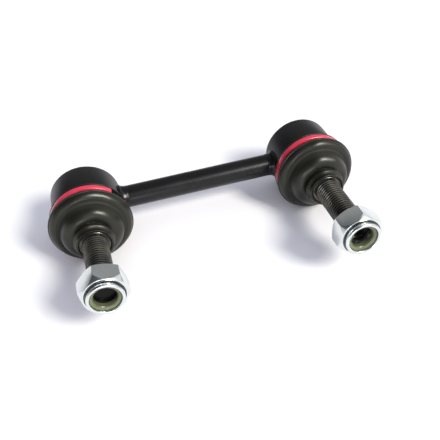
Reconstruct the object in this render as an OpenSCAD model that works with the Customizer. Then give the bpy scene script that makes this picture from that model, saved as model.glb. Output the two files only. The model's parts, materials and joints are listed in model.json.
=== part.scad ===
// Stabilizer link: a short rod with a sealed ball joint and a threaded stud at each end.
// x runs along the rod, z is up and both studs point along -y.
// The origin lies midway between the studs, on the plane of the two bracket seats (y = 0).
// Every profile of a joint is drawn as [radius, y], so its heights are places along y.

/* [Rod] */
// Distance between the two ball centres
centres = 93; // [75:0.5:150]
// Diameter of the rod
rod_d = 9.1; // [8:0.1:10.5]
// How far the rod's axis lies behind the ball centres
rod_set_back = 2; // [0.5:0.1:2.5]
// How far the weld bead stands out from the rod
weld_rise = 1; // [0.6:0.1:1.6]
// Length of the weld bead along the rod
weld_length = 2.6; // [1.5:0.1:6]

/* [Housing] */
// Distance from the bracket seat to the ball centre
seat_reach = 24; // [22.5:0.1:30]
// Outer diameter of the housing
housing_d = 28.2; // [27.6:0.1:34]
// Distance from the ball centre to the back of the housing
housing_back = 9.9; // [9.6:0.1:13]
// Distance from the ball centre to the front of the housing's spigot
spigot_reach = 10.8; // [9.8:0.1:12]
// Diameter of the spigot that carries the boot
spigot_d = 25.1; // [24.6:0.1:26]
// Length of the spigot
spigot_length = 5.4; // [4.4:0.1:5.6]
// Radius of the rounded back edge
edge_r = 0.9; // [0.6:0.1:2.4]
// Thickness of the end plate
plate_t = 1.8; // [1.2:0.1:2]
// Depth of the dish in the end plate's back
plate_dish = 0.6; // [0.2:0.1:0.8]
// Width of the ledge that the end plate sits on
plate_ledge = 1.2; // [0.8:0.1:1.6]
// Thickness of the lip rolled over the end plate
lip_t = 0.7; // [0.4:0.1:1]
// How far the rolled lip covers the end plate
lip_cover = 1; // [0.5:0.1:2]

/* [Ball and stud] */
// Diameter of the ball
ball_d = 15; // [13:0.1:15.6]
// Distance from the ball centre to the flat on its back
ball_flat = 5.6; // [5:0.1:5.8]
// Wall of the plastic ball seat at the ball's widest
seat_wall = 2.35; // [1.6:0.05:2.6]
// Distance from the ball centre to the front of the ball seat
seat_front = 5.4; // [4.6:0.1:6]
// Distance from the ball centre to the edge that holds the ball in
seat_hold = 3.4; // [2.6:0.1:4]
// Largest swing of the stud to each side, in degrees
swing = 22; // [15:1:24]
// Diameter of the stud's neck
neck_d = 8.4; // [7:0.1:9]
// Diameter of the shoulder that the bracket seats on
shoulder_d = 12.2; // [11.4:0.1:13]
// Thickness of the shoulder
shoulder_t = 2.2; // [1.6:0.1:2.8]
// Diameter of the groove behind the shoulder
groove_d = 10.4; // [9.4:0.1:10.8]
// Width of the groove behind the shoulder
groove_w = 2.8; // [2:0.1:3.4]
// Length of the cone between the groove and the neck
neck_taper = 3; // [1:0.1:4]
// Diameter over the thread's crests
thread_d = 9.8; // [9:0.1:10.4]
// Length of the stud in front of the bracket seat
stud_length = 26.2; // [22:0.1:45]
// Diameter of the reduced lead at the stud's end
lead_d = 9.3; // [8:0.1:9.4]
// Length of the reduced lead
lead_length = 6.6; // [6:0.1:7]
// Length of the chamfer on the stud's end
point_chamfer = 0.8; // [0.4:0.1:1.4]

/* [Dust boot] */
// Wall of the boot
boot_wall = 1.3; // [0.9:0.05:1.6]
// Radius of the flange's rounded rim
flange_r = 2.4; // [2:0.1:2.8]
// Distance between the flange and the ring groove
flange_gap = 0.6; // [0.4:0.1:1]
// How far the thin lip behind the clamp ring stands above the groove's floor
boot_lip_rise = 1.6; // [1:0.1:1.8]
// Thickness of the thin lip behind the clamp ring
boot_lip_t = 0.5; // [0.4:0.1:0.8]
// Radius of the valley between the flange and the bulge
valley_r = 1.5; // [1:0.1:1.8]
// Largest radius of the bulge
bulge_reach = 12.05; // [11.6:0.05:12.2]
// Radius of the bulge's rounded section
bulge_rise = 4; // [3.4:0.1:4.2]
// Lean of the bulge's wall towards its front, in degrees
bulge_lean = 20; // [12:1:24]
// Distance from the bracket seat to the front of the bulge
bulge_front = 4.5; // [4.2:0.1:4.8]
// Outer diameter of the collar's rim
collar_d = 14; // [13.8:0.1:15]
// Thickness of the collar's rim
rim_t = 1; // [0.6:0.1:1.4]
// How far the ridge behind the rim stands out past the collar
ridge_rise = 0.8; // [0.3:0.1:1]
// Width of the ridge
ridge_w = 1.6; // [1:0.1:2]
// Depth of the waist between the rim and the ridge
waist_depth = 0.25; // [0.1:0.05:0.3]
// How far the collar stands in front of the bracket seat
collar_proud = 0.2; // [0:0.05:0.4]

/* [Clamp ring] */
// Thickness of the clamp ring
ring_t = 1.45; // [0.8:0.05:1.8]
// Width of the clamp ring
ring_w = 2.4; // [2:0.1:3]
// Radius of the clamp ring's corners
ring_corner = 0.5; // [0.2:0.05:0.6]
// Opening between the ring's ends, in degrees
ring_gap = 30; // [8:1:60]
// Direction of the left ring's opening, in degrees from the rod upwards
left_ring_turn = 32; // [-180:1:180]
// Direction of the right ring's opening, in degrees from the rod upwards
right_ring_turn = -110; // [-180:1:180]

/* [Lock nut] */
// Width across the nut's flats
nut_af = 16; // [15:0.5:19]
// Height of the nut with its crown
nut_h = 10; // [9:0.1:12]
// Height of the crown above the hexagon
crown_h = 1.85; // [1.6:0.05:2.4]
// Diameter of the crown
crown_d = 14; // [13.8:0.1:14.8]
// Diameter of the opening in the crown
crown_hole_d = 11; // [10.6:0.1:11.6]
// Thickness of the crown's rolled rim
crown_rim = 0.7; // [0.5:0.05:0.9]
// How far inside the flats the bevels on the hexagon's front corners start
bevel_inset = 0.1; // [0:0.05:0.5]
// Slope of those bevels, in degrees
bevel_slope = 60; // [30:1:65]
// Slope of the bevels on the hexagon's back corners, in degrees
corner_slope = 35; // [20:1:40]
// Diameter of the round bearing face on the nut's back
nut_face_d = 15.2; // [13:0.1:15.4]
// Outer diameter of the nylon insert
insert_d = 12.6; // [12:0.1:12.8]
// Diameter of the hole in the nylon insert
insert_hole_d = 8.4; // [8.2:0.1:9.2]
// Diameter of the funnel in the front of the nylon insert
insert_mouth_d = 11.4; // [10.8:0.1:11.8]
// Depth of that funnel
insert_mouth_t = 1.7; // [0.8:0.1:1.9]
// Thickness of the nylon insert
insert_t = 2.3; // [1.6:0.1:2.4]
// How far the left nut stands past the end of its stud
left_nut_past = 3.5; // [3.4:0.1:5]
// How far the right nut stands past the end of its stud
right_nut_past = 6.2; // [3.4:0.1:6.4]
// Turn of the left nut's corners, in degrees
left_nut_turn = -16; // [-30:1:30]
// Turn of the right nut's corners, in degrees
right_nut_turn = 25; // [-30:1:30]

/* [Fits] */
// Clearance of each running fit, on the radius
run_fit = 0.05; // [0.02:0.01:0.1]
// Room left between pieces that stay clear of each other
room = 0.3; // [0.1:0.05:0.4]
// Room round the neck at full swing
swing_room = 1; // [0.5:0.1:1.2]

/* [Hidden] */
$fn = 96;
left = -1;
right = 1;
arc_steps = 10;
past = 1;

ball_r = ball_d / 2;
ball_y = seat_reach;
rod_r = rod_d / 2;
rod_y = ball_y + rod_set_back;
housing_r = housing_d / 2;
neck_r = neck_d / 2;
groove_r = groove_d / 2;
shoulder_r = shoulder_d / 2;
thread_r = thread_d / 2;
lead_r = lead_d / 2;

// Bore of the housing, from the ball outwards
socket_r = ball_r + run_fit;
seat_r = socket_r + seat_wall;
bore_r = seat_r + run_fit;
plate_r = bore_r + plate_ledge;
lip_r = plate_r - lip_cover;

// Places along y, from the front of the housing to its back
spigot_y = ball_y - spigot_reach;
shelf_y = spigot_y + spigot_length;
seat_front_y = ball_y - seat_front;
back_y = ball_y + housing_back;
plate_back_y = back_y - lip_t;
plate_front_y = plate_back_y - plate_t;

// Width that the neck sweeps at full swing, at a distance in front of the ball centre
function sweep_r(distance) = distance * tan(swing) + neck_r / cos(swing) + swing_room;

// Boot, from its seat on the spigot outwards
spigot_r = spigot_d / 2;
boot_seat_r = spigot_r + run_fit;
ring_floor_r = boot_seat_r + boot_wall;
boot_lip_r = ring_floor_r + boot_lip_rise;
boot_back_y = shelf_y - 2 * run_fit;
ring_back_y = boot_back_y - boot_lip_t;
ring_front_y = ring_back_y - ring_w - 4 * run_fit;
flange_y = ring_front_y - flange_gap - flange_r;
valley_y = flange_y - flange_r - valley_r;
bulge_r = bulge_reach - bulge_rise;
bulge_y = bulge_front + bulge_rise;
hollow_r = bulge_rise - boot_wall;
collar_r = collar_d / 2;
collar_bore_r = shoulder_r + room;

// Nut, measured from its front face towards the ball
nut_thread_r = thread_r + run_fit;
crown_r = crown_d / 2;
crown_edge = (crown_d - crown_hole_d) / 2 - room;
insert_r = insert_d / 2;
pocket_t = insert_t + 2 * run_fit;
nut_corner_r = nut_af / 2 / cos(30);
blank_r = nut_corner_r + room;
bevel_r = nut_af / 2 - bevel_inset;

// Points on an arc round [r, y], from one angle to another
function arc(r, y, rise, depth, from, to) = [
    for (i = [0 : arc_steps])
        let (a = from + (to - from) * i / arc_steps)
        [r + rise * cos(a), y + depth * sin(a)]
];

// Stands a joint's pieces on the axis of its stud, with their heights along y
module on_joint(side)
    translate([side * centres / 2, 0, 0])
    rotate([-90, 0, 0])
    children();

// Turns a shape round z into one round the rod
module on_rod()
    translate([0, rod_y, 0])
    rotate([0, 90, 0])
    children();

// The round body of a housing, as the rod and the weld meet it
module housing_blank(side)
    on_joint(side)
    translate([0, 0, spigot_y])
    cylinder(r = housing_r, h = back_y - spigot_y);

module link_rod()
    color("#232427")
    difference() {
        on_rod()
            cylinder(r = rod_r, h = centres, center = true);
        housing_blank(left);
        housing_blank(right);
    }

// Upset bead of the weld, which runs out on the rod
module weld(side)
    color("#2a2b2e")
    difference() {
        on_rod()
            mirror([0, 0, side < 0 ? 1 : 0])
            translate([0, 0, centres / 2])
            rotate_extrude()
            polygon(concat(
                [[0, 0], [rod_r + weld_rise, 0]],
                arc(rod_r, -housing_r, weld_rise, weld_length, 0, -90),
                [[0, -housing_r - weld_length]]
            ));
        on_rod()
            cylinder(r = rod_r, h = centres + 2 * past, center = true);
        housing_blank(side);
    }

module housing(side)
    color("#1e1f22")
    on_joint(side)
    rotate_extrude()
    polygon(concat(
        [
            [sweep_r(spigot_reach), spigot_y],
            [spigot_r - room, spigot_y],
            [spigot_r, spigot_y + room],
            [spigot_r, shelf_y],
            [housing_r, shelf_y]
        ],
        arc(housing_r - edge_r, back_y - edge_r, edge_r, edge_r, 0, 90),
        [
            [lip_r, back_y],
            [lip_r, plate_back_y],
            [plate_r, plate_back_y],
            [plate_r, plate_front_y],
            [bore_r, plate_front_y],
            [bore_r, seat_front_y - run_fit],
            [sweep_r(seat_front), seat_front_y - run_fit]
        ]
    ));

// Pressed disc that closes the housing, with a shallow dish in its back
module end_plate(side)
    color("#303136")
    on_joint(side)
    rotate_extrude()
    polygon([
        [0, plate_front_y + run_fit],
        [plate_r - run_fit, plate_front_y + run_fit],
        [plate_r - run_fit, plate_back_y],
        [lip_r - room, plate_back_y],
        [lip_r - plate_t, plate_back_y - plate_dish],
        [0, plate_back_y - plate_dish]
    ]);

// Plastic cup that holds the ball past its widest, flared for the swing
module ball_seat(side)
    color("#e6e0cf")
    on_joint(side)
    translate([0, 0, ball_y])
    difference() {
        translate([0, 0, -seat_front])
            cylinder(r = seat_r, h = seat_front + plate_front_y - ball_y);
        sphere(r = socket_r);
        translate([0, 0, -seat_front])
            cylinder(
                r1 = sweep_r(seat_front),
                r2 = sqrt(pow(socket_r, 2) - pow(seat_hold, 2)),
                h = seat_front - seat_hold
            );
        translate([0, 0, -seat_front - past])
            cylinder(r = sweep_r(seat_front), h = past);
    }

module ball_stud(side)
    color("#33322e")
    on_joint(side) {
        translate([0, 0, ball_y])
            difference() {
                sphere(r = ball_r);
                translate([0, 0, ball_flat])
                    cylinder(r = ball_d, h = ball_r);
            }
        rotate_extrude()
            polygon([
                [0, ball_y],
                [0, -stud_length],
                [lead_r - point_chamfer, -stud_length],
                [lead_r, point_chamfer - stud_length],
                [lead_r, lead_length - stud_length],
                [thread_r, lead_length - stud_length],
                [thread_r, 0],
                [shoulder_r - room, 0],
                [shoulder_r, room],
                [shoulder_r, shoulder_t],
                [groove_r, shoulder_t],
                [groove_r, shoulder_t + groove_w],
                [neck_r, shoulder_t + groove_w + neck_taper],
                [neck_r, ball_y]
            ]);
    }

// Ring inside the boot's collar: it swings with the stud, which is free to turn in it
module neck_ring(side)
    color("#8d8f94")
    on_joint(side)
    translate([0, 0, shoulder_t + run_fit])
    difference() {
        cylinder(r = shoulder_r, h = groove_w - 2 * run_fit);
        translate([0, 0, -past])
            cylinder(r = groove_r + run_fit, h = groove_w + 2 * past);
    }

// Rubber boot: a seat on the spigot with a groove for the ring, a round flange, a bulge
// that lets the stud swing, and a ridged collar on the stud's shoulder
module dust_boot(side)
    color("#2b2b29")
    on_joint(side)
    rotate_extrude()
    polygon(concat(
        [
            [boot_seat_r, boot_back_y],
            [boot_lip_r, boot_back_y],
            [boot_lip_r, ring_back_y],
            [ring_floor_r, ring_back_y],
            [ring_floor_r, ring_front_y]
        ],
        arc(ring_floor_r, flange_y, flange_r, flange_r, 90, -90),
        arc(ring_floor_r, valley_y, valley_r, valley_r, 90 + bulge_lean / 2, 180 - bulge_lean),
        arc(bulge_r, bulge_y, bulge_rise, bulge_rise, -bulge_lean, -90),
        [
            [collar_r, bulge_front],
            [collar_r, rim_t + ridge_w + ridge_rise],
            [collar_r + ridge_rise, rim_t + ridge_w],
            [collar_r + ridge_rise, rim_t + ridge_rise],
            [collar_r - waist_depth, rim_t],
            [collar_r, rim_t - waist_depth],
            [collar_r, -collar_proud],
            [collar_bore_r, -collar_proud],
            [collar_bore_r, bulge_front + boot_wall]
        ],
        arc(bulge_r, bulge_y, hollow_r, hollow_r, -90, 0),
        [
            [bulge_r + hollow_r, spigot_y - room - boot_wall],
            [bulge_reach, spigot_y - room],
            [boot_seat_r, spigot_y - room]
        ]
    ));

// Two rounded corners of the clamp ring's section, on its outer or its inner edge
function ring_edge(outer) =
    let (
        inner_r = ring_floor_r + 2 * run_fit + ring_corner,
        r = outer ? inner_r + ring_t - 2 * ring_corner : inner_r,
        low_y = ring_front_y + 2 * run_fit + ring_corner,
        high_y = low_y + ring_w - 2 * ring_corner,
        first = outer ? -90 : 90
    )
    concat(
        arc(r, outer ? low_y : high_y, ring_corner, ring_corner, first, first + 90),
        arc(r, outer ? high_y : low_y, ring_corner, ring_corner, first + 90, first + 180)
    );

// Split band that holds the boot on the spigot
module clamp_ring(side, turn)
    color("#d53a4f")
    on_joint(side)
    rotate([0, 0, ring_gap / 2 - turn])
    rotate_extrude(angle = 360 - ring_gap)
    polygon(concat(ring_edge(true), ring_edge(false)));

// Hexagon with bevelled corners under a round crown, whose rim is rolled over the insert
module lock_nut(side, nut_past, turn)
    color("#c9d0d3")
    on_joint(side)
    translate([0, 0, -stud_length - nut_past])
    difference() {
        union() {
            intersection() {
                rotate([0, 0, -turn])
                    translate([0, 0, crown_h])
                    cylinder(r = nut_corner_r, h = nut_h - crown_h, $fn = 6);
                rotate_extrude()
                    polygon([
                        [0, crown_h],
                        [bevel_r, crown_h],
                        [blank_r, crown_h + (blank_r - bevel_r) * tan(bevel_slope)],
                        [blank_r, nut_h - (blank_r - nut_face_d / 2) * tan(corner_slope)],
                        [nut_face_d / 2, nut_h],
                        [0, nut_h]
                    ]);
            }
            rotate_extrude()
                polygon(concat(
                    [[0, crown_h + past], [crown_r, crown_h + past]],
                    arc(crown_r - crown_edge, crown_edge, crown_edge, crown_edge, 0, -90),
                    [[0, 0]]
                ));
        }
        translate([0, 0, -past])
            cylinder(r = crown_hole_d / 2, h = crown_rim + 2 * past);
        translate([0, 0, crown_rim])
            cylinder(r = insert_r + run_fit, h = pocket_t);
        cylinder(r = nut_thread_r, h = nut_h + past);
        translate([0, 0, nut_h - point_chamfer])
            cylinder(r1 = nut_thread_r, r2 = nut_thread_r + point_chamfer, h = point_chamfer);
    }

// Nylon locking ring that the crown's rim keeps in the nut, with a funnel for the thread
module nut_insert(side, nut_past)
    color("#a5aa6c")
    on_joint(side)
    translate([0, 0, crown_rim + run_fit - stud_length - nut_past])
    rotate_extrude()
    polygon([
        [insert_mouth_d / 2, 0],
        [insert_r, 0],
        [insert_r, insert_t],
        [insert_hole_d / 2, insert_t],
        [insert_hole_d / 2, insert_mouth_t]
    ]);

link_rod();
weld(left);  // left_weld
weld(right);  // right_weld
housing(left);  // left_housing
housing(right);  // right_housing
end_plate(left);  // left_end_plate
end_plate(right);  // right_end_plate
ball_seat(left);  // left_ball_seat
ball_seat(right);  // right_ball_seat
ball_stud(left);  // left_ball_stud
ball_stud(right);  // right_ball_stud
dust_boot(left);  // left_dust_boot
dust_boot(right);  // right_dust_boot
clamp_ring(left, left_ring_turn);  // left_clamp_ring
clamp_ring(right, right_ring_turn);  // right_clamp_ring
neck_ring(left);  // left_neck_ring
neck_ring(right);  // right_neck_ring
lock_nut(left, left_nut_past, left_nut_turn);  // left_lock_nut
lock_nut(right, right_nut_past, right_nut_turn);  // right_lock_nut
nut_insert(left, left_nut_past);  // left_nut_insert
nut_insert(right, right_nut_past);  // right_nut_insert
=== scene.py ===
# %% [markdown]
# # A stabilizer link, modelled and finished step by step
#
# The link ties a car's anti-roll bar to its suspension: a short black rod with a sealed ball joint at
# each end, and a threaded stud and a lock nut on each joint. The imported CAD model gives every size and
# says how each body moves. This lesson models the pieces that show, gives each its finish, and hangs
# it on the CAD body that carries it. All places are in the CAD frame, written in millimetres.

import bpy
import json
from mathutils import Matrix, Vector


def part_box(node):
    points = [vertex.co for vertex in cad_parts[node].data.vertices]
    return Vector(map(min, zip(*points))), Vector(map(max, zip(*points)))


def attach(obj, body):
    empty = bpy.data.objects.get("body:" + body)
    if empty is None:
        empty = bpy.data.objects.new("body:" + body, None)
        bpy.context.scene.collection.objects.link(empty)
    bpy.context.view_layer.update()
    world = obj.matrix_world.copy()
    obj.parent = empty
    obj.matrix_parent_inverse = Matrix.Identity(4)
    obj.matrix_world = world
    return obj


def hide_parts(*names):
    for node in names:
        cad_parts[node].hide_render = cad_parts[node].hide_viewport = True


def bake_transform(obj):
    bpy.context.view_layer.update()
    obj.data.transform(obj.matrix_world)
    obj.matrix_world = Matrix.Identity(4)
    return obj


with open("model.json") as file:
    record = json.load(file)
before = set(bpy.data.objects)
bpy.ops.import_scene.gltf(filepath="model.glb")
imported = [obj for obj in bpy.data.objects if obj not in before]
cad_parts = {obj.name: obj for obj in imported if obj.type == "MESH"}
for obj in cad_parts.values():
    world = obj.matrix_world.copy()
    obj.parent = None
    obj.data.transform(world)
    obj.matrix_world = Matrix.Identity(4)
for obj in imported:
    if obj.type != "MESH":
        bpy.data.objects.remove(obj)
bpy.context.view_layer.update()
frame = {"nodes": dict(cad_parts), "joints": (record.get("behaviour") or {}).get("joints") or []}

# %% [markdown]
# Blender works in metres and the pieces are small, so one factor turns the written millimetres into
# metres. The main places and sizes are measured on the frame, so that what is drawn lies where the CAD
# pieces lie: the ball's centre is read from its joint, and round pieces from the boxes of their nodes.
# A script never steps back, so Blender needn't keep undo steps, which saves much of the waiting.

# %% Units and places
import json
import math

import bpy
from mathutils import Matrix, Vector

MM = 0.001
MERGE = 0.002 * MM
bpy.context.preferences.edit.use_global_undo = False


def in_mm(metres):
    """Turns a measure of the frame into millimetres, to a hundredth."""
    return round(metres / MM, 2)


def corners(node):
    """Gives the lowest and the highest corner of a CAD node's box, in millimetres."""
    return [[in_mm(value) for value in corner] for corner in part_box(node)]


def turned(node):
    """Measures a round CAD node of the left joint: its radius, and its front and back along y."""
    low, high = corners(node)
    return round(high[0] - LEFT_X, 2), low[1], high[1]


ball_joint = next(joint for joint in frame["joints"] if joint["name"] == "left_swing")
LEFT_X, BALL_Y = (in_mm(value) for value in ball_joint["pos_m"][:2])
CENTRES = -2 * LEFT_X
AXES = {"left": LEFT_X, "right": -LEFT_X}
print("joint axes at x =", AXES, "mm, balls at y =", BALL_Y, "mm")

# %% [markdown]
# The camera stands where the photographer stood. Its place, its turn and its lens came from fitting a
# pinhole camera to the outlines of the housings, boots, studs and nuts. The picture is 440 pixels wide,
# and the lens is given as its focal length in those pixels.

# %% Camera
PICTURE_PIXELS = 440
FOCAL_PIXELS = 609.7
SENSOR_MM = 36.0
NEAREST_SEEN = 1.0
camera_place = Vector((-38.16, -179.65, 146.48)) * MM
camera_right = Vector((0.95829, -0.27561, -0.07564))
camera_up = Vector((0.2306, 0.58928, 0.77432))
camera_turn = Matrix((camera_right, camera_up, camera_right.cross(camera_up))).transposed()
bpy.ops.object.camera_add(location=camera_place, rotation=camera_turn.to_euler())
camera = bpy.context.object
camera.data.sensor_width = SENSOR_MM
camera.data.lens = FOCAL_PIXELS / PICTURE_PIXELS * SENSOR_MM
camera.data.clip_start = NEAREST_SEEN * MM
bpy.context.scene.camera = camera
bpy.context.scene.view_settings.view_transform = "Standard"
print("lens", round(camera.data.lens, 2), "mm")

# %% [markdown]
# Put down on a table, the link leans back: it rests on the rims of its two boots and on the back edges
# of its two housings. The floor is the plane that touches those four round edges from below, so it is
# tilted in the CAD frame. A line under two circles follows from their centres and radii.

# %% Floor plane
HOUSING_RADIUS, HOUSING_FRONT, HOUSING_BACK = turned("left_housing")
BACK_ROUND = 0.9
BOOT_RIM = {"radius": 13.9, "y": 12.4, "round": 2.3}
FLOOR_SIZE = 4000.0
run = HOUSING_BACK - BACK_ROUND - BOOT_RIM["y"]
rise = BOOT_RIM["radius"] - (HOUSING_RADIUS - BACK_ROUND)
lift = BOOT_RIM["round"] - BACK_ROUND
floor_tilt = math.atan2(rise, run) + math.asin(lift / math.hypot(rise, run))
floor_normal = Vector((0, -math.sin(floor_tilt), math.cos(floor_tilt)))
rim_centre = Vector((0, BOOT_RIM["y"], -BOOT_RIM["radius"])) * MM
floor_touch = rim_centre - floor_normal * BOOT_RIM["round"] * MM
bpy.ops.object.select_all(action="DESELECT")
bpy.ops.mesh.primitive_plane_add(
    size=FLOOR_SIZE * MM, location=floor_touch, rotation=(floor_tilt, 0, 0)
)
floor = bpy.context.object
floor.name = floor.data.name = "floor"
bpy.ops.object.transform_apply(location=True, rotation=True, scale=True)
print("floor tilted by", round(math.degrees(floor_tilt), 2), "degrees")

# %% [markdown]
# A softbox, far off at the front right, gives the main light: its shadows fall to the left and to the
# back, with soft edges. A small, weak and cool card close in front of the link puts a faint sheen on the
# faces that are turned to the camera. Distances and sizes of lamps are in metres.


# %% Lamps
def panel(name, direction, distance, size, watts, colour):
    """Hangs a square lamp in a direction from the link, facing it."""
    towards = Vector(direction).normalized()
    bpy.ops.object.light_add(
        type="AREA",
        location=towards * distance,
        rotation=towards.to_track_quat("Z", "Y").to_euler(),
    )
    lamp = bpy.context.object
    lamp.name = lamp.data.name = name
    lamp.data.shape = "SQUARE"
    lamp.data.size = size
    lamp.data.energy = watts
    lamp.data.color = colour
    print(name, watts, "W")


panel(
    "key_softbox", direction=(0.48, -0.6, 0.62), distance=3.9, size=1.08,
    watts=198.0, colour=(1.0, 0.97, 0.92),
)
panel(
    "front_card", direction=(-0.2, -0.96, 0.05), distance=0.5, size=0.12,
    watts=0.5, colour=(0.84, 0.91, 1.0),
)

# %% [markdown]
# Most pieces of a ball joint are turned on a lathe or moulded round, so they are made the same way here.
# A tiny plane on the joint's axis is merged to a single vertex, which serves as a pencil: extruding it
# from point to point draws half a section. Points are written as radius and place along y.


# %% Drawing a section
def alone(piece):
    """Makes one piece the only selected and active object."""
    bpy.ops.object.select_all(action="DESELECT")
    piece.select_set(True)
    bpy.context.view_layer.objects.active = piece


def draw(name, axis_x, points):
    """Draws a section as a chain of edges, and stays in edit mode."""
    bpy.ops.object.select_all(action="DESELECT")
    bpy.ops.mesh.primitive_plane_add(size=MM, location=(axis_x * MM, 0, 0))
    piece = bpy.context.object
    piece.name = piece.data.name = name
    bpy.ops.object.mode_set(mode="EDIT")
    bpy.ops.mesh.select_mode(type="VERT")
    bpy.ops.mesh.select_all(action="SELECT")
    bpy.ops.mesh.merge(type="CENTER")
    bpy.ops.transform.translate(value=(points[0][0] * MM, points[0][1] * MM, 0))
    for (r0, y0), (r1, y1) in zip(points, points[1:]):
        step = ((r1 - r0) * MM, (y1 - y0) * MM, 0)
        bpy.ops.mesh.extrude_vertices_move(TRANSFORM_OT_translate={"value": step})
    bpy.ops.mesh.select_all(action="SELECT")
    bpy.ops.mesh.remove_doubles(threshold=MERGE)
    return piece


# %% [markdown]
# No edge of a real piece is quite sharp. A corner of the drawn section is found again by its place and
# bevelled, and becomes a rounded edge when the section is turned. Larger curves are drawn as arcs.

# %% Rounding corners
CORNER_REACH = 0.004


def choose(piece, test):
    """Selects the vertices whose place in millimetres passes a test, and stays in edit mode."""
    bpy.ops.mesh.select_all(action="DESELECT")
    bpy.ops.object.mode_set(mode="OBJECT")
    for vertex in piece.data.vertices:
        vertex.select = test(vertex.co / MM)
    bpy.ops.object.mode_set(mode="EDIT")


def round_off(piece, points, radius, segments=4):
    """Bevels the drawn corners at the given points."""
    def drawn(place):
        return any(math.hypot(place.x - r, place.y - y) < CORNER_REACH for r, y in points)

    choose(piece, drawn)
    bpy.ops.mesh.bevel(offset=radius * MM, segments=segments, affect="VERTICES")


def bow(r, y, rise, depth, first, last, steps=10):
    """Points on an arc round (r, y), between two angles from the radial direction."""
    angles = [math.radians(first + (last - first) * i / steps) for i in range(steps + 1)]
    return [(r + rise * math.cos(a), y + depth * math.sin(a)) for a in angles]


# %% [markdown]
# Spin turns a drawn section about the joint's axis, as a lathe does. The seam is merged and the faces are
# made to point outwards. Both joints are alike, so a piece is finished on the left joint and copied to the
# right one, with a mesh of its own.

# %% Turning and copying
ROUND_STEPS = 128


def spin(piece, degrees=360.0, steps=ROUND_STEPS):
    """Turns the drawn section about the joint's axis and closes the seam."""
    bpy.ops.mesh.select_all(action="SELECT")
    bpy.ops.mesh.spin(
        steps=steps,
        angle=math.radians(degrees),
        center=piece.location,
        axis=(0, 1, 0),
    )
    bpy.ops.mesh.select_all(action="SELECT")
    bpy.ops.mesh.remove_doubles(threshold=MERGE)
    bpy.ops.mesh.normals_make_consistent(inside=False)
    bpy.ops.object.mode_set(mode="OBJECT")


def settle(piece, smooth_below=35.0):
    """Puts the piece's place into its mesh and smooths what isn't an edge."""
    alone(piece)
    bpy.ops.object.transform_apply(location=True, rotation=True, scale=True)
    bpy.ops.object.shade_smooth_by_angle(angle=math.radians(smooth_below))
    print(piece.name, len(piece.data.polygons), "faces")


def twin(piece, name, along_y=0.0):
    """Copies a finished piece of the left joint to the right one."""
    alone(piece)
    bpy.ops.object.duplicate()
    copy = bpy.context.object
    copy.name = copy.data.name = name
    bpy.ops.transform.translate(value=(CENTRES * MM, along_y * MM, 0))
    bpy.ops.object.transform_apply(location=True, rotation=True, scale=True)
    return copy


# %% [markdown]
# The rod is a plain drawn bar, welded by its ends to the round housings. It could be left as one long
# cylinder, but then nothing could be shaped or shaded along it. So a cylinder is added along x and bisected
# into even rings, and its ends reach a little way into the housings, where they don't show.

# %% Rod
rod_low, rod_high = corners("link_rod")
ROD_RADIUS = round((rod_high[1] - rod_low[1]) / 2, 2)
ROD_Y = round((rod_high[1] + rod_low[1]) / 2, 2)
ROD_SUNK = 1.5
ROD_HALF = CENTRES / 2 - HOUSING_RADIUS + ROD_SUNK
ROD_CUTS = range(-30, 31, 6)
BAR_SIDES = 96


def lying_cylinder(name, x_from, x_to, radius):
    """Adds a cylinder along the rod's axis, between two places on x."""
    bpy.ops.object.select_all(action="DESELECT")
    bpy.ops.mesh.primitive_cylinder_add(
        vertices=BAR_SIDES,
        radius=radius * MM,
        depth=(x_to - x_from) * MM,
        location=((x_from + x_to) / 2 * MM, ROD_Y * MM, 0),
        rotation=(0, math.pi / 2, 0),
    )
    piece = bpy.context.object
    piece.name = piece.data.name = name
    bpy.ops.object.transform_apply(location=True, rotation=True, scale=True)
    return piece


def ring_cuts(places):
    """Cuts the piece in edit mode into rings at places on x."""
    for x in places:
        bpy.ops.mesh.select_all(action="SELECT")
        bpy.ops.mesh.bisect(plane_co=(x * MM, 0, 0), plane_no=(1, 0, 0))


rod = lying_cylinder("rod", -ROD_HALF, ROD_HALF, ROD_RADIUS)
bpy.ops.object.mode_set(mode="EDIT")
ring_cuts(ROD_CUTS)
bpy.ops.object.mode_set(mode="OBJECT")
settle(rod)
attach(rod, "link")
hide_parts("link_rod")

# %% [markdown]
# Each end of the rod was pressed hot against its housing, which leaves a collar of upset metal. The
# collar is a cylinder cut into many rings: the rings are scaled along a falling curve, so that it runs
# out on the rod, and a Displace modifier with a cloud texture makes it as uneven as a real weld.

# %% Weld collars
WELD_RISE = 1.0
WELD_LENGTH = 3.0
WELD_SUNK = 1.3
WELD_RINGS = 14
WELD_FOOT = {"under": 0.1, "step": 0.12, "steepness": 6}
WELD_RIPPLE = {"size": 1.6, "height": 0.22}
WELD_FACE = CENTRES / 2 - HOUSING_RADIUS
RING_REACH = 0.01


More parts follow.
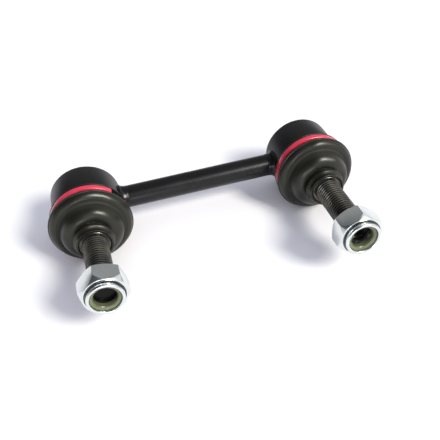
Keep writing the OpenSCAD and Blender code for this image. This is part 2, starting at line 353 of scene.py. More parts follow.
def weld_collar(name, side):
    """Models the upset collar at one end of the rod."""
    face = side * (WELD_FACE + WELD_SUNK)
    foot = side * (WELD_FACE - WELD_LENGTH)
    foot_radius = ROD_RADIUS - WELD_FOOT["under"]
    places = [foot + (face - foot) * i / WELD_RINGS for i in range(1, WELD_RINGS + 1)]
    piece = lying_cylinder(name, min(face, foot), max(face, foot), foot_radius)
    bpy.ops.object.mode_set(mode="EDIT")
    ring_cuts(places[:-1])
    for x in places:
        part = min(1.0, max(0.0, (x - foot) / (side * WELD_LENGTH)))
        step = WELD_FOOT["step"] * min(1.0, part * WELD_FOOT["steepness"])
        swell = WELD_RISE * (1 - math.sqrt(1 - part**2))
        size = (foot_radius + step + swell) / foot_radius
        choose(piece, lambda place: abs(place.x - x) < RING_REACH)
        bpy.ops.transform.resize(value=(1, size, size), center_override=(x * MM, ROD_Y * MM, 0))
    bpy.ops.object.mode_set(mode="OBJECT")
    clouds = bpy.data.textures.new(name + "_ripple", "CLOUDS")
    clouds.noise_scale = WELD_RIPPLE["size"] * MM
    bpy.ops.object.modifier_add(type="DISPLACE")
    ripple = piece.modifiers[-1]
    ripple.texture = clouds
    ripple.strength = WELD_RIPPLE["height"] * MM
    bpy.ops.object.modifier_apply(modifier=ripple.name)
    settle(piece, smooth_below=50.0)
    return piece


welds = {"left": weld_collar("weld_left", -1), "right": weld_collar("weld_right", 1)}
for side_name, piece in welds.items():
    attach(piece, "link")
    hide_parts(side_name + "_weld")

# %% [markdown]
# A housing is turned from bar: a round body with a softly rounded back edge, a spigot in front for the
# boot, and a lip at the back that is rolled over the end plate. The section is drawn once, its corners
# are bevelled with the radii of the real edges, and it is spun.

# %% Housings
PLATE_RADIUS, PLATE_FRONT, PLATE_BACK = turned("left_end_plate")
PLATE_GAP = 0.05
SPIGOT_RADIUS = 12.55
SPIGOT_BACK = 18.6
BORE_RADIUS = 9.95
BORE_FRONT = 18.55
MOUTH_NARROW = 7.71
MOUTH_WIDE = 9.9
LIP_RADIUS = 10.15
pocket_radius = PLATE_RADIUS + PLATE_GAP
pocket_front = PLATE_FRONT - PLATE_GAP
housing_points = [
    (MOUTH_WIDE, HOUSING_FRONT), (SPIGOT_RADIUS, HOUSING_FRONT), (SPIGOT_RADIUS, SPIGOT_BACK),
    (HOUSING_RADIUS, SPIGOT_BACK), (HOUSING_RADIUS, HOUSING_BACK), (LIP_RADIUS, HOUSING_BACK),
    (LIP_RADIUS, PLATE_BACK), (pocket_radius, PLATE_BACK), (pocket_radius, pocket_front),
    (BORE_RADIUS, pocket_front), (BORE_RADIUS, BORE_FRONT), (MOUTH_NARROW, BORE_FRONT),
    (MOUTH_WIDE, HOUSING_FRONT),
]
housing = draw("housing_left", LEFT_X, housing_points)
round_off(housing, [(HOUSING_RADIUS, HOUSING_BACK)], radius=BACK_ROUND, segments=6)
round_off(housing, [(HOUSING_RADIUS, SPIGOT_BACK), (LIP_RADIUS, HOUSING_BACK)], radius=0.35, segments=3)
round_off(housing, [(SPIGOT_RADIUS, HOUSING_FRONT)], radius=0.3, segments=2)
spin(housing)
settle(housing)
housings = {"left": housing, "right": twin(housing, "housing_right")}
for side_name, piece in housings.items():
    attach(piece, "link")
    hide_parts(side_name + "_housing")

# %% [markdown]
# The end plate is a pressed disc that closes the housing behind the ball. Its middle is dished, as
# pressing leaves it, with soft corners on both sides of the step.

# %% End plates
DISH_RADIUS = 9.4
DISH_FOOT = 8.0
DISH_DEPTH = 0.6
dish_edge = (DISH_RADIUS, PLATE_BACK)
dish_foot = (DISH_FOOT, PLATE_BACK - DISH_DEPTH)
plate_points = [
    (0, PLATE_FRONT), (PLATE_RADIUS, PLATE_FRONT), (PLATE_RADIUS, PLATE_BACK), dish_edge, dish_foot,
    (0, PLATE_BACK - DISH_DEPTH), (0, PLATE_FRONT),
]
plate = draw("end_plate_piece_left", LEFT_X, plate_points)
round_off(plate, [dish_edge, dish_foot], radius=0.6)
spin(plate)
settle(plate)
plates = {"left": plate, "right": twin(plate, "end_plate_piece_right")}
for side_name, piece in plates.items():
    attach(piece, "link")
    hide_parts(side_name + "_end_plate")

# %% [markdown]
# The dust boot is moulded rubber. From the housing outwards it has a thin lip, a groove for the clamp
# ring, a fat flange with a fine moulding fin on its rim, a valley, a domed bulge that takes up the swing,
# and a ridged collar round the stud. The outside and the inside are drawn as one closed section, so the
# boot has a real wall.

# %% Boot section
_, BOOT_FRONT, BOOT_BACK = turned("left_dust_boot")
BOOT_BORE = 12.6
GROOVE_RADIUS = 13.9
GROOVE_FRONT = 15.4
GROOVE_BACK = 18.0
LIP_REACH = 15.5
FLANGE = {"r": 13.7, "y": 12.3, "rise": 2.3, "depth": 2.3}
VALLEY = {"r": 13.39, "y": 8.9, "rise": 1.1, "depth": 1.1}
DOME = {"r": 8.05, "y": 8.5, "rise": 4.0, "depth": 4.0}
DOME_INSIDE = {"r": 8.05, "y": 8.5, "rise": 2.7, "depth": 2.7}
RIDGE_RADIUS = 7.85
COLLAR_RADIUS = 7.05
COLLAR_BORE = 6.2
boot_lip = [(BOOT_BORE, BOOT_BACK), (LIP_REACH, BOOT_BACK), (LIP_REACH, GROOVE_BACK)]
boot_groove = [(GROOVE_RADIUS, GROOVE_BACK), (GROOVE_RADIUS, GROOVE_FRONT)]
boot_fin = [(16.4, 12.95), (16.4, 12.3), (16.0, 12.2)]
boot_collar = [
    (7.3, 4.4), (7.25, 3.9), (RIDGE_RADIUS, 3.1), (RIDGE_RADIUS, 2.3), (6.9, 1.5), (6.8, 0.9),
    (COLLAR_RADIUS, 0.5), (COLLAR_RADIUS, BOOT_FRONT),
]
boot_throat = [(COLLAR_BORE, BOOT_FRONT), (COLLAR_BORE, 5.8)]
boot_mouth = [(10.75, 11.6), (11.9, 12.9), (BOOT_BORE, 12.9), (BOOT_BORE, BOOT_BACK)]
boot_points = (
    boot_lip
    + boot_groove
    + bow(**FLANGE, first=84, last=18, steps=7)
    + boot_fin
    + bow(**FLANGE, first=-6, last=-90, steps=14)
    + bow(**VALLEY, first=92, last=164, steps=8)
    + bow(**DOME, first=-20, last=-86, steps=12)
    + boot_collar
    + boot_throat
    + bow(**DOME_INSIDE, first=-88, last=0, steps=10)
    + boot_mouth
)
print("boot section of", len(boot_points), "points")

# %% [markdown]
# On the real joint the boot's flange stays with the housing while its collar follows the stud. Here the
# boot is drawn, rounded and spun once, copied to the right joint with its place kept in its mesh, and
# the CAD boots are hidden.

# %% Boots
boot = draw("boot_left", LEFT_X, boot_points)
round_off(boot, boot_lip[1:], radius=0.15, segments=3)
round_off(boot, boot_fin[:2], radius=0.12, segments=2)
round_off(boot, boot_collar[1:4], radius=0.3, segments=3)
round_off(boot, boot_collar[-2:] + boot_throat[:1], radius=0.2, segments=3)
spin(boot)
settle(boot, smooth_below=60.0)
boots = {"left": boot, "right": twin(boot, "boot_right")}
for side_name, piece in boots.items():
    side_name + "_seat"
    side_name + "_carrier"
    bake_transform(piece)
    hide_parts(side_name + "_dust_boot")

# %% [markdown]
# A split band of red coated spring steel holds the boot on its spigot. Its section is a small rectangle
# with rounded corners, spun through less than a full turn, and the two open ends are filled. The openings
# of the two rings point where the photograph shows them.

# %% Clamp rings
RING_RADIUS, RING_FRONT, RING_BACK = turned("left_clamp_ring")
RING_BORE = 14.0
RING_GAP = 30.0
RING_TURNS = {"left": 32.0, "right": -110.0}
RING_STEPS = 160
ring_outside = [(RING_RADIUS, RING_FRONT), (RING_RADIUS, RING_BACK)]
ring_inside = [(RING_BORE, RING_BACK), (RING_BORE, RING_FRONT)]


def clamp_band(name, axis_x, turn):
    """Models one split ring whose opening points to a direction, in degrees from +x towards +z."""
    piece = draw(name, axis_x, ring_inside[1:] + ring_outside + ring_inside)
    round_off(piece, ring_outside, radius=0.6, segments=6)
    round_off(piece, ring_inside, radius=0.2, segments=2)
    bpy.ops.mesh.select_all(action="SELECT")
    bpy.ops.transform.rotate(
        value=math.radians(turn + RING_GAP / 2),
        orient_axis="Y",
        center_override=piece.location,
    )
    spin(piece, degrees=360.0 - RING_GAP, steps=RING_STEPS)
    bpy.ops.object.mode_set(mode="EDIT")
    bpy.ops.mesh.select_all(action="SELECT")
    bpy.ops.mesh.fill_holes(sides=0)
    bpy.ops.mesh.normals_make_consistent(inside=False)
    bpy.ops.object.mode_set(mode="OBJECT")
    settle(piece)
    return piece


rings = {side: clamp_band("clamp_band_" + side, x, RING_TURNS[side]) for side, x in AXES.items()}
for side_name, piece in rings.items():
    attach(piece, "link")
    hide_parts(side_name + "_clamp_ring")

# %% [markdown]
# The ball stud is one turned piece: ball, neck, shoulder and a rolled thread. The thread is a helix, so
# it isn't spun but screwed: a section one pitch long is swept by the Screw modifier, which climbs one
# pitch per turn.

# %% Stud threads
BALL_RADIUS, STUD_END, BALL_FLAT = turned("left_ball_stud")
PITCH = 1.25
CREST = 4.9
ROOT = 4.12
ROOT_FLAT = 0.12
CREST_FLAT = (0.58, 0.78)
THREAD_FROM = -20.9
THREAD_TO = 0.6
HELIX_STEPS = 48
turns = math.ceil((THREAD_TO - THREAD_FROM) / PITCH) + 2
thread_start = THREAD_FROM - PITCH
thread_points = [
    (ROOT, thread_start),
    (ROOT, thread_start + ROOT_FLAT),
    (CREST, thread_start + CREST_FLAT[0]),
    (CREST, thread_start + CREST_FLAT[1]),
    (ROOT, thread_start + PITCH),
]
thread = draw("stud_left", LEFT_X, thread_points)
bpy.ops.object.mode_set(mode="OBJECT")
bpy.ops.object.modifier_add(type="SCREW")
helix = thread.modifiers[-1]
helix.axis = "Y"
helix.screw_offset = PITCH * MM
helix.iterations = turns
helix.steps = helix.render_steps = HELIX_STEPS
helix.use_merge_vertices = True
helix.merge_threshold = MERGE
bpy.ops.object.modifier_apply(modifier=helix.name)
print("thread of", turns, "turns")

# %% [markdown]
# A swept helix ends in ragged turns. Bisect trims both ends flat and fills them, so the thread becomes a
# closed body that a Boolean can work with.

# %% Trimmed threads
THREAD_EDGE = 25.0
bpy.ops.object.mode_set(mode="EDIT")
bpy.ops.mesh.select_all(action="SELECT")
bpy.ops.mesh.remove_doubles(threshold=MERGE)
for y, outwards in ((THREAD_FROM, -1), (THREAD_TO, 1)):
    bpy.ops.mesh.select_all(action="SELECT")
    bpy.ops.mesh.bisect(
        plane_co=(0, y * MM, 0),
        plane_no=(0, outwards, 0),
        use_fill=True,
        clear_outer=True,
        threshold=MERGE / 100,
    )
bpy.ops.mesh.select_all(action="SELECT")
bpy.ops.mesh.remove_doubles(threshold=MERGE / 10)
bpy.ops.mesh.normals_make_consistent(inside=False)
bpy.ops.object.mode_set(mode="OBJECT")
settle(thread, smooth_below=THREAD_EDGE)

# %% [markdown]
# The rest of the stud is turned: a plain lead at its end, which tapers away inside the thread, and the
# shoulder, groove, neck and ball behind it. Both are drawn and spun like the other round pieces, and reach
# a little into the thread.

# %% Stud bodies
STUD_STEPS = 96
LEAD_RADIUS = 4.65
LEAD_TIP = 3.85
LEAD_BEVEL = 0.8
LEAD_BACK = -20.1
SHOULDER_RADIUS = 6.1
SHOULDER_BEVEL = 0.3
SHOULDER_BACK = 2.2
GROOVE_FLOOR = 5.2
BALL_ARC = (-56, 48.3)
lead_points = [
    (0, STUD_END), (LEAD_TIP, STUD_END), (LEAD_RADIUS, STUD_END + LEAD_BEVEL),
    (LEAD_RADIUS, -20.73), (3.7, LEAD_BACK), (0, LEAD_BACK),
]
lead = draw("stud_lead", LEFT_X, lead_points)
round_off(lead, [(LEAD_TIP, STUD_END)], radius=0.25, segments=3)
spin(lead, steps=STUD_STEPS)
settle(lead)
body_points = (
    [(0, 0.0), (SHOULDER_RADIUS - SHOULDER_BEVEL, 0.0), (SHOULDER_RADIUS, SHOULDER_BEVEL)]
    + [(SHOULDER_RADIUS, SHOULDER_BACK), (GROOVE_FLOOR, SHOULDER_BACK), (GROOVE_FLOOR, 5.0), (4.2, 8.0)]
    + bow(0, BALL_Y, BALL_RADIUS, BALL_RADIUS, *BALL_ARC, steps=24)
    + [(0, BALL_FLAT)]
)
body = draw("stud_body", LEFT_X, body_points)
spin(body, steps=STUD_STEPS)
settle(body)

# %% [markdown]
# A Boolean modifier unites lead and body with the thread, so the stud is one closed shell and not three
# that overlap. Slivers that the cut leaves are merged away.


# %% United studs
def combine(piece, tool, operation):
    """Applies a Boolean of two bodies to the first, and deletes the second."""
    alone(piece)
    bpy.ops.object.modifier_add(type="BOOLEAN")
    boolean = piece.modifiers[-1]
    boolean.operation = operation
    boolean.solver = "EXACT"
    boolean.object = tool
    bpy.ops.object.modifier_apply(modifier=boolean.name)
    alone(tool)
    bpy.ops.object.delete()
    alone(piece)


combine(thread, lead, "UNION")
combine(thread, body, "UNION")
bpy.ops.object.mode_set(mode="EDIT")
bpy.ops.mesh.select_all(action="SELECT")
bpy.ops.mesh.remove_doubles(threshold=MERGE)
bpy.ops.mesh.dissolve_degenerate(threshold=MERGE)
bpy.ops.mesh.normals_make_consistent(inside=False)
bpy.ops.object.mode_set(mode="OBJECT")
settle(thread, smooth_below=THREAD_EDGE)
studs = {"left": thread, "right": twin(thread, "stud_right")}
for side_name, piece in studs.items():
    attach(piece, side_name + "_stud")
    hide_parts(side_name + "_ball_stud")

# %% [markdown]
# A lock nut is made from hexagon bar on a lathe: the lathe rounds the corners into bevels and turns the
# crown, whose rim is then rolled over a nylon ring. The turned blank is drawn first. Its section runs from
# the rolled lip over the groove behind the crown and the bevels to the bore, and back round the pocket
# that holds the nylon.

# %% Nut sections
nut_boxes = {side: corners(side + "_lock_nut") for side in AXES}
NUT_FRONTS = {side: low[1] for side, (low, _) in nut_boxes.items()}
NUT_HEIGHT = round(nut_boxes["left"][1][1] - NUT_FRONTS["left"], 2)
NUT_FLATS = 16.0
NUT_TURNS = {"left": -16.0, "right": 25.0}
NUT_CORNER = NUT_FLATS / 2 / math.cos(math.radians(30))
NUT_BORE = 4.95
BLANK_RADIUS = 9.6
POCKET_RADIUS = 6.35
POCKET_DEPTHS = (1.25, 3.15)
CROWN_BORE = 5.6


def nut_section(front):
    """Draws half the turned blank, measured from the nut's front face towards the ball."""
    lip = bow(6.1, 0.45, 0.5, 0.45, 180, 270, 4) + bow(6.2, 0.65, 0.6, 0.65, -90, 20, 8)
    groove = [(6.75, 1.2), (6.7, 2.2), (7.05, 2.2), (7.25, 1.9)]
    bevels = [(7.9, 1.9), (BLANK_RADIUS, 4.79), (BLANK_RADIUS, 8.6), (7.6, NUT_HEIGHT)]
    bore = [(5.8, NUT_HEIGHT), (NUT_BORE, NUT_HEIGHT - 0.85), (NUT_BORE, POCKET_DEPTHS[1])]
    pocket = [(POCKET_RADIUS, POCKET_DEPTHS[1]), (POCKET_RADIUS, POCKET_DEPTHS[0])]
    crown = [(CROWN_BORE, POCKET_DEPTHS[0]), (CROWN_BORE, 0.45)]
    return [(r, front + depth) for r, depth in lip + groove + bevels + bore + pocket + crown]


print("nut fronts at y =", NUT_FRONTS, "mm, height", NUT_HEIGHT, "mm")

# %% [markdown]
# Then the blank and a hexagonal bar are intersected by a Boolean modifier, which cuts the curved edges of
# the bevels by itself, as the lathe's tool does on the real bar. A small bevel takes the sharpness off.

# %% Nuts
NUT_STEPS = 144
NUT_EDGE = {"width": 0.12, "segments": 2, "sharper_than": 28}


def lock_nut(name, axis_x, front, turn):
    """Turns the blank and cuts it with the hexagon."""
    piece = draw(name, axis_x, nut_section(front))
    spin(piece, steps=NUT_STEPS)
    bpy.ops.object.select_all(action="DESELECT")
    bpy.ops.mesh.primitive_cylinder_add(
        vertices=6,
        radius=NUT_CORNER * MM,
        depth=2 * NUT_HEIGHT * MM,
        location=(axis_x * MM, (front + NUT_HEIGHT / 2) * MM, 0),
        rotation=(math.pi / 2, math.radians(30 - turn), 0),
    )
    combine(piece, bpy.context.object, "INTERSECT")
    bpy.ops.object.modifier_add(type="BEVEL")
    soft = piece.modifiers[-1]
    soft.width = NUT_EDGE["width"] * MM
    soft.segments = NUT_EDGE["segments"]
    soft.limit_method = "ANGLE"
    soft.angle_limit = math.radians(NUT_EDGE["sharper_than"])
    bpy.ops.object.modifier_apply(modifier=soft.name)
    settle(piece, smooth_below=30.0)
    return piece


nuts = {side: lock_nut("nut_" + side, x, NUT_FRONTS[side], NUT_TURNS[side]) for side, x in AXES.items()}
for side_name, piece in nuts.items():
    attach(piece, side_name + "_nut")
    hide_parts(side_name + "_lock_nut")

# %% [markdown]
# The nylon ring sits in the crown's pocket, and its face lies close behind the rolled lip. The face is a
# shallow bowl that leads the thread into a bore narrower than the thread, so the section falls inwards and
# its corners get large bevels.

# %% Nylon rings
NYLON_RADIUS = turned("left_nut_insert")[0]
NYLON_FACE = 5.5
NYLON_BORE = 4.05
nylon_seat = NUT_FRONTS["left"] + 1.28
nylon_back = NUT_FRONTS["left"] + 3.05
bowl_rim = (NYLON_FACE, NUT_FRONTS["left"] + 0.85)
bowl_edge = (4.25, NUT_FRONTS["left"] + 1.25)
bore_start = (NYLON_BORE, NUT_FRONTS["left"] + 2.1)
nylon_points = [
    (NYLON_RADIUS, nylon_seat), (NYLON_RADIUS, nylon_back), (NYLON_BORE, nylon_back), bore_start,
    bowl_edge, bowl_rim, (NYLON_FACE, nylon_seat), (NYLON_RADIUS, nylon_seat),
]
nylon = draw("nylon_left", LEFT_X, nylon_points)
round_off(nylon, [bowl_edge], radius=0.4, segments=5)
round_off(nylon, [bore_start], radius=0.3)
round_off(nylon, [bowl_rim], radius=0.15, segments=3)
spin(nylon)
settle(nylon)
shift = NUT_FRONTS["right"] - NUT_FRONTS["left"]
nylons = {"left": nylon, "right": twin(nylon, "nylon_right", shift)}
for side_name, piece in nylons.items():
    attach(piece, side_name + "_insert")
    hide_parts(side_name + "_nut_insert")

# %% [markdown]
# Finishes are built from shader nodes. So that their arithmetic reads like arithmetic, one small class
# wraps a node's output and adds Math nodes for the usual signs.


# %% Shader arithmetic
class Wire:
    """An output of a node. Arithmetic on it adds Math nodes."""

    def __init__(self, finish, socket):
        self.finish = finish
        self.socket = socket

    def maths(self, operation, first, second):
        """Adds one Math node."""
        return self.finish.node("ShaderNodeMath", {"operation": operation}, {0: first, 1: second})

    def __add__(self, other):
        return self.maths("ADD", self, other)

    def __radd__(self, other):
        return self.maths("ADD", other, self)

    def __sub__(self, other):
        return self.maths("SUBTRACT", self, other)

    def __rsub__(self, other):
        return self.maths("SUBTRACT", other, self)

    def __mul__(self, other):
        return self.maths("MULTIPLY", self, other)

    def __rmul__(self, other):
        return self.maths("MULTIPLY", other, self)


# %% [markdown]
# A second class stands for one material. One method adds any node, and the others name what a finish
# needs again and again: a cloudy pattern, a smooth step, a mix of colours, a relief. Painted shade and
# glints, and dust, lie in rings on turned pieces, so one method tells how far a point is from the nearer
# joint's axis.


# %% Finish class
class Finish:
    """A material that is put together node by node."""

    def __init__(self, tree):
        self.tree = tree
        self.tree.nodes.clear()

    def node(self, kind, settings=None, sockets=None, out=0):
        """Adds a node: its settings first, then the values or wires of its sockets."""
        node = self.tree.nodes.new(kind)
        for key, value in (settings or {}).items():
            setattr(node, key, value)
        for key, value in (sockets or {}).items():
            if isinstance(value, Wire):
                self.tree.links.new(value.socket, node.inputs[key])
            else:
                node.inputs[key].default_value = value
        return Wire(self, node.outputs[out]) if node.outputs else None

    def noise(self, place, size, detail=2.0, rough=0.5):
        """A cloudy pattern whose patches are about the given size in millimetres."""
        return self.node(
            "ShaderNodeTexNoise",
            {},
            {"Vector": place, "Scale": 1 / (size * MM), "Detail": detail, "Roughness": rough},
        )

    def step(self, value, low, high):
        """Runs smoothly from 0 to 1 while the value goes from low to high."""
        return self.node(
            "ShaderNodeMapRange",
            {"interpolation_type": "SMOOTHSTEP"},
            {"Value": value, "From Min": low, "From Max": high},
        )

    def part(self, place, axis):
        """Takes one coordinate of a place, X, Y or Z."""
        return self.node("ShaderNodeSeparateXYZ", {}, {0: place}, axis)

    def ring(self, place, near, far):
        """Runs from 0 to 1 while the distance from the nearer joint's axis goes from near to far."""
        across = self.part(place, "X")
        from_axis = across.maths("ABSOLUTE", across, 0.0) + LEFT_X * MM
        up = self.part(place, "Z")
        squared = from_axis * from_axis + up * up
        return self.step(squared, (near * MM) ** 2, (far * MM) ** 2)

    def blend(self, share, first, second):
        """Mixes two colours."""
        return self.node(
            "ShaderNodeMix",
            {"data_type": "RGBA"},
            {0: share, 6: first, 7: second},
            2,
        )

    def bump(self, height, depth):
        """Turns a height between 0 and 1 into a normal, with the depth in millimetres."""
        return self.node("ShaderNodeBump", {}, {"Strength": 1.0, "Distance": depth * MM, "Height": height})

    def surface(self, sockets):
        """Ends the material in a Principled surface."""
        shader = self.node("ShaderNodeBsdfPrincipled", {}, sockets)
        self.node("ShaderNodeOutputMaterial", {}, {"Surface": shader})


# %% [markdown]
# Every finish starts the same way, with an empty material and the object coordinates, which stay with
# the piece when it moves. The finished material is given to all the pieces that are made of it.


# %% Starting a finish
def new_finish(name):
    """Starts a material, and gives it with its object coordinates."""
    material = bpy.data.materials.new(name)
    material.use_nodes = True
    finish = Finish(material.node_tree)
    place = finish.node("ShaderNodeTexCoord", {}, {}, "Object")
    print("finish", name)
    return material, finish, place


def dress(material, *pieces):
    """Gives pieces, or carried-over CAD nodes, one material."""
    for piece in pieces:
        piece.data.materials.clear()
        piece.data.materials.append(material)


# %% [markdown]
# Housings, rod, welds and plates are dipped in black paint. It is almost black, with a satin skin that is
# slightly dimpled like the peel of an orange, duller where dust has settled in patches.

# %% Black coat
COAT_DUST = (0.09, 0.085, 0.08, 1)


def black_coat(name, shade, dull, peel):
    """Paint of a given darkness, dullness and depth of peel."""
    material, finish, place = new_finish(name)
    patches = finish.noise(place, size=9.0, detail=4.0, rough=0.6)
    grain = finish.noise(place, size=0.55)
    specks = finish.step(finish.noise(place, size=0.9, detail=1.0), 0.72, 0.78)
    clean = finish.blend(patches, (shade, shade, shade * 1.05, 1), (shade * 2, shade * 2, shade * 2.1, 1))
    finish.surface({
        "Base Color": finish.blend(specks * 0.25, clean, COAT_DUST),
        "Specular IOR Level": 0.32,
        "Roughness": dull + patches * 0.12 + grain * 0.04,
        "Normal": finish.bump(grain, depth=peel),
    })
    return material


coat = black_coat("black_coat_finish", shade=0.003, dull=0.3, peel=0.012)
rod_coat = black_coat("rod_coat_finish", shade=0.0025, dull=0.2, peel=0.01)
dress(coat, *housings.values(), *plates.values())
dress(rod_coat, rod, *welds.values())

# %% [markdown]
# The boots are black rubber with a warm, slightly olive cast and a waxy half gloss. The soft wall has
# broad, shallow dents, handling leaves faint lighter patches, the mould leaves a very fine grain, and dust
# dulls the valley between the flange and the dome.

# %% Boot rubber
rubber, finish, place = new_finish("boot_rubber_finish")
bloom = finish.noise(place, size=7.0, detail=5.0, rough=0.62)
grain = finish.noise(place, size=0.35)
dents = finish.noise(place, size=7.0, detail=0.0)
valley = finish.ring(place, 11.6, 12.3) * finish.ring(place, 14.0, 13.5)
dust = valley * finish.step(finish.part(place, "Y"), 10.7 * MM, 10.3 * MM)
finish.surface({
    "Base Color": finish.blend(bloom, (0.003, 0.003, 0.0025, 1), (0.009, 0.009, 0.006, 1)),
    "Roughness": 0.29 + bloom * 0.1 + grain * 0.05 + dust * 0.35,
    "Specular IOR Level": 0.45,
    "Specular Tint": (1.0, 1.0, 0.88, 1),
    "Normal": finish.bump(grain * 0.008 + dents, depth=1.1),
})
dress(rubber, *boots.values())

# %% [markdown]
# The clamp rings carry a glossy crimson coat over steel, with faint streaks along the band.

# %% Red coat
red, finish, place = new_finish("ring_red_finish")
streaks = finish.noise(place, size=2.2, detail=3.0)
finish.surface({
    "Base Color": finish.blend(streaks, (0.47, 0.014, 0.036, 1), (0.6, 0.04, 0.085, 1)),
    "Roughness": 0.26 + streaks * 0.12,
    "Normal": finish.bump(streaks, depth=0.02),
    "Coat Weight": 0.3,
})
dress(red, *rings.values())

# %% [markdown]
# The studs are phosphated steel, nearly black, with a brown film of oil that lies unevenly. The thread's
# roots get a painted shade and its crests a painted glint, and the end face inside the nut gets a painted
# shade.

# %% Stud steel
steel, finish, place = new_finish("stud_steel_finish")
oil = finish.step(finish.noise(place, size=5.0, detail=4.0, rough=0.6), 0.4, 0.65)
pits = finish.noise(place, size=0.3)
# Painted shade: the end face inside the nut is made nearly black.
end_painted_shade = finish.step(finish.part(place, "Y"), (STUD_END + 1.0) * MM, (STUD_END + 0.5) * MM)
# Painted shade and painted glint: the thread's roots are made dark and its crests light.
painted_crest_light = finish.ring(place, 4.4, 4.75)
bright = finish.blend(oil, (0.06, 0.06, 0.058, 1), (0.11, 0.104, 0.082, 1))
oily_thread_painted_light = finish.blend(painted_crest_light, (0.01, 0.01, 0.009, 1), bright)
finish.surface({
    "Base Color": finish.blend(end_painted_shade, oily_thread_painted_light, (0.008, 0.008, 0.007, 1)),
    "Metallic": 0.85,
    "Roughness": 0.28 - oil * 0.06 + pits * 0.08,
    "Normal": finish.bump(pits, depth=0.01),
})
dress(steel, *studs.values())

# %% [markdown]
# The nuts are plated with bright zinc under a faint blue passivation. Tumbling in the barrel leaves the
# flats a little cloudy and finely scratched, and the groove behind the crown gets a painted shade. The two
# nuts stand at different places, so the depth behind each nut's own front is worked out from its side.

# %% Zinc plate
nut_middle = (NUT_FRONTS["left"] + NUT_FRONTS["right"]) / 2
nut_offset = (NUT_FRONTS["left"] - NUT_FRONTS["right"]) / 2
zinc, finish, place = new_finish("zinc_plate_finish")
cloud = finish.noise(place, size=3.0, detail=4.0, rough=0.6)
scratch = finish.noise(place, size=0.4, detail=3.0, rough=0.7)
across = finish.part(place, "X")
side = across.maths("SIGN", across, 0.0)
depth = finish.part(place, "Y") + side * (nut_offset * MM) - nut_middle * MM
# Painted shade: the groove behind the crown is made nearly black.
crevice = finish.ring(place, 6.62, 6.74) * finish.ring(place, 7.35, 7.2)
groove_painted_shade = crevice * finish.step(depth, 1.2 * MM, 1.6 * MM) * finish.step(depth, 2.45 * MM, 2.25 * MM)
clean = finish.blend(cloud, (0.64, 0.675, 0.66, 1), (0.8, 0.835, 0.82, 1))
finish.surface({
    "Base Color": finish.blend(groove_painted_shade * 0.85, clean, (0.05, 0.055, 0.055, 1)),
    "Metallic": 1.0,
    "Roughness": 0.14 + cloud * 0.12 + scratch * 0.05,
    "Normal": finish.bump(scratch, depth=0.006),
})
dress(zinc, *nuts.values())

# %% [markdown]
# The locking ring is translucent nylon of an olive yellow, with a painted shade that darkens it towards
# its bore.

# %% Nylon
nylon_finish, finish, place = new_finish("nylon_finish")
milk = finish.noise(place, size=1.8, detail=3.0)
# Painted shade: the nylon is made darker towards its bore.
bore_painted_shade = finish.ring(place, 5.0, 4.1)
clear = finish.blend(milk, (0.095, 0.107, 0.055, 1), (0.15, 0.168, 0.09, 1))
finish.surface({
    "Base Color": finish.blend(bore_painted_shade, clear, (0.075, 0.083, 0.045, 1)),
    "Roughness": 0.2 + milk * 0.1,
    "Subsurface Weight": 0.2,
    "Subsurface Radius": (1.0 * MM, 1.0 * MM, 0.6 * MM),
    "Normal": finish.bump(milk, depth=0.02),
})
dress(nylon_finish, *nylons.values())

# %% [markdown]
# Ball seats and neck rings lie inside the joints, where their CAD solids are right as they are. They
# still get a finish each: milky bearing plastic and plain turned steel.

# %% Hidden pieces
seat_plastic, finish, place = new_finish("seat_plastic_finish")
milk = finish.noise(place, size=2.5, detail=3.0)
finish.surface({
    "Base Color": finish.blend(milk, (0.62, 0.58, 0.48, 1), (0.74, 0.71, 0.62, 1)),
    "Roughness": 0.35 + milk * 0.1,
})
plain_steel, finish, place = new_finish("neck_steel_finish")
tooling = finish.noise(place, size=0.6, detail=3.0)
finish.surface({
    "Base Color": finish.blend(tooling, (0.3, 0.3, 0.31, 1), (0.45, 0.45, 0.46, 1)),
    "Metallic": 1.0,
    "Roughness": 0.3 + tooling * 0.15,
})
for side_name in AXES:
    dress(seat_plastic, frame["nodes"][side_name + "_ball_seat"])
    dress(plain_steel, frame["nodes"][side_name + "_neck_ring"])

# %% [markdown]
# The table is white paper. Its diffuse part keeps the link's shadow, and a small share of plain white is
# added for what the camera and the metal see, so that the paper is white without more light on the link.
# From below it is clear, so that low views see the link as well.

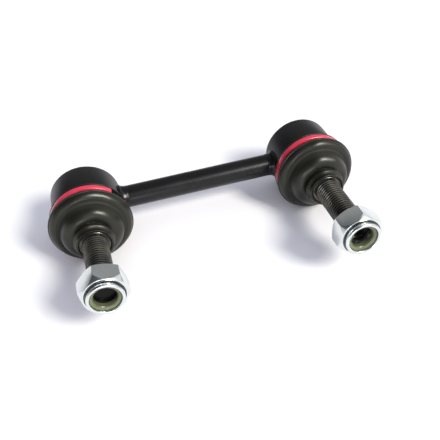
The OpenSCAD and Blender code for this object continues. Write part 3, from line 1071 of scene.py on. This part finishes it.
# %% Floor paper
PAPER_COLOUR = (0.69, 0.69, 0.68, 1)
PAPER_EXTRA = (0.06, 0.06, 0.065, 1)
BLACK = (0, 0, 0, 1)
floor_material, finish, _ = new_finish("floor_paper")
seen = finish.node("ShaderNodeLightPath", {}, {}, "Is Camera Ray")
glossy = finish.node("ShaderNodeLightPath", {}, {}, "Is Glossy Ray")
through = finish.node("ShaderNodeLightPath", {}, {}, "Is Transmission Ray")
paper = finish.node("ShaderNodeBsdfDiffuse", {}, {"Color": PAPER_COLOUR})
extra = finish.blend(seen + glossy + through, BLACK, PAPER_EXTRA)
glow = finish.node("ShaderNodeEmission", {}, {"Color": extra})
both = finish.node("ShaderNodeAddShader", {}, {0: paper, 1: glow})
below = finish.node("ShaderNodeNewGeometry", {}, {}, "Backfacing")
nothing = finish.node("ShaderNodeBsdfTransparent")
shown = finish.node("ShaderNodeMixShader", {}, {0: below, 1: both, 2: nothing})
finish.node("ShaderNodeOutputMaterial", {}, {"Surface": shown})
dress(floor_material, floor)

# %% [markdown]
# The room lights what the softbox doesn't reach, and it is what the paint, the rubber and the zinc mirror:
# a pale wall low down at the front left, a brighter sky to the right and a window at the front right.
# Scattered light also gets a soft ceiling and a bluer tint, which fills the shadows on the paper.

# %% Room
FRONT_LEFT = (-0.5, -0.86, 0.0)
SIDES_DIMMED = 0.3
SEEN_TINT = (0.97, 0.98, 1.02, 1)
SCATTERED_TINT = (0.94, 0.95, 1.14, 1)
world = bpy.data.worlds.new("studio_room")
world.use_nodes = True
bpy.context.scene.world = world
finish = Finish(world.node_tree)
direction = finish.node("ShaderNodeTexCoord", {}, {}, "Generated")
right, back, height = (finish.part(direction, axis) for axis in "XYZ")
front = finish.node(
    "ShaderNodeVectorMath", {"operation": "DOT_PRODUCT"}, {0: direction, 1: FRONT_LEFT}, "Value"
)
wall = finish.step(height, 0.45, 0.12) * (0.05 + 0.65 * finish.step(front, 0.0, 0.95))
sky = 0.08 + 0.27 * finish.step(right + back * 0.5, -0.3, 0.3)
window = 0.5 * finish.step(right - back * 0.6, 0.3, 0.55) * finish.step(height, -0.02, 0.08)
scattered = finish.node("ShaderNodeLightPath", {}, {}, "Is Diffuse Ray")
ceiling = scattered * finish.step(height, 0.55, 0.77)
sides = (sky + wall + window) * (1.0 - scattered * SIDES_DIMMED)
tint = finish.blend(scattered, SEEN_TINT, SCATTERED_TINT)
light = finish.blend(sides + ceiling, BLACK, tint)
backdrop = finish.node("ShaderNodeBackground", {}, {"Color": light})
finish.node("ShaderNodeOutputWorld", {}, {"Surface": backdrop})
print("stage ready")
